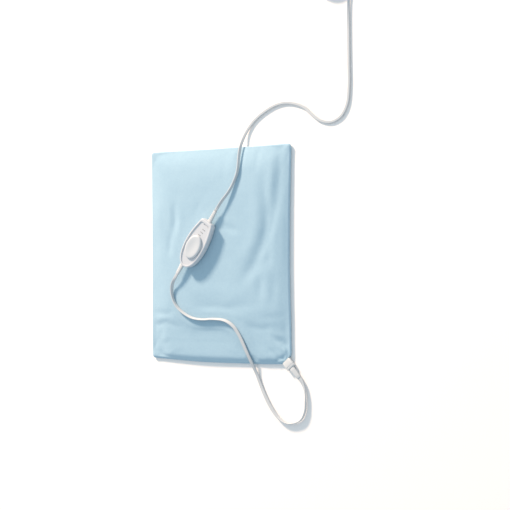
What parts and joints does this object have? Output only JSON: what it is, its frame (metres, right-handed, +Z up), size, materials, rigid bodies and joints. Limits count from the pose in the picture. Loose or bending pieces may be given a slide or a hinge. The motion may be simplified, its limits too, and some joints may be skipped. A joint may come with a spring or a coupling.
{
  "type": "heating pad with controller",
  "caption": "Flat fabric-covered electric heating pad with a boat-shaped slide control lying on it, a flat lead from its corner to the control, and a coiled supply cord with a plug.",
  "frame": {"origin": "centre of the pad's underside, on the table that the pad lies on", "axes": "+Y along the pad's long side towards the edge that the supply cord leaves over, +X to the side of the corner where the lead leaves, +Z up"},
  "size_m": [0.4226, 0.82, 0.0323],
  "materials": {
    "cover_fabric": "soft brushed pale blue knit",
    "envelope_vinyl": "soft sealed vinyl sheet",
    "batting": "loose polyester filling",
    "felt": "pressed felt sheet",
    "heating_wire": "insulated heating cord",
    "wire_insulation": "smooth wire insulation",
    "dark_plastic": "moulded dark plastic",
    "steel": "plated steel",
    "cord_plastic": "soft satin white cord jacket and mouldings",
    "case_plastic": "satin white moulding",
    "slide_plastic": "satin white moulding, slightly lighter than the case",
    "inner_plastic": "plain moulding",
    "copper": "bright copper sheet",
    "board": "laminate board",
    "brass": "bright brass blades"
  },
  "bodies": {
    "pad_and_control": {"case_screw_1": "steel", "case_screw_2": "steel", "case_screw_3": "steel", "case_screw_4": "steel", "circuit_board": "board", "coil_tie": "dark_plastic", "contact_common": "copper", "contact_high": "copper", "contact_low": "copper", "contact_medium": "copper", "corner_cord_block": "cord_plastic", "detent_spring": "steel", "element_carrier": "felt", "element_splice": "steel", "fabric_cover": "cover_fabric", "heating_wire_high": "heating_wire", "heating_wire_low": "heating_wire", "lead_cord_clamp": "inner_plastic", "lead_loop": "cord_plastic", "lead_on_pad": "cord_plastic", "lead_strain_relief": "cord_plastic", "lead_wire_1": "wire_insulation", "lead_wire_2": "wire_insulation", "lead_wire_3": "wire_insulation", "lower_batting": "batting", "lower_case": "case_plastic", "pad_strain_relief": "cord_plastic", "plug_blade_narrow": "brass", "plug_blade_wide": "brass", "plug_body": "cord_plastic", "plug_strain_relief": "cord_plastic", "rectifier_diode": "dark_plastic", "supply_coil": "cord_plastic", "supply_cord_clamp": "inner_plastic", "supply_on_floor": "cord_plastic", "supply_on_pad": "cord_plastic", "supply_strain_relief": "cord_plastic", "supply_tail": "cord_plastic", "supply_wire_1": "wire_insulation", "supply_wire_2": "wire_insulation", "tail_common": "wire_insulation", "tail_high": "wire_insulation", "tail_low": "wire_insulation", "thermal_fuse": "steel", "thermostat_high": "dark_plastic", "thermostat_low": "dark_plastic", "upper_batting": "batting", "upper_case": "case_plastic", "vinyl_lower": "envelope_vinyl", "vinyl_upper": "envelope_vinyl"},
    "slide": {"thumb_slide": "slide_plastic", "slide_carrier": "inner_plastic", "contact_wiper": "copper"}
  },
  "joints": [
    {"name": "slide_travel", "type": "slide", "parent": "pad_and_control", "child": "slide", "axis": [0.5736, 0.8192, 0], "range_m": [0, 0.0156], "deforming": ["detent_spring"]}
  ]
}
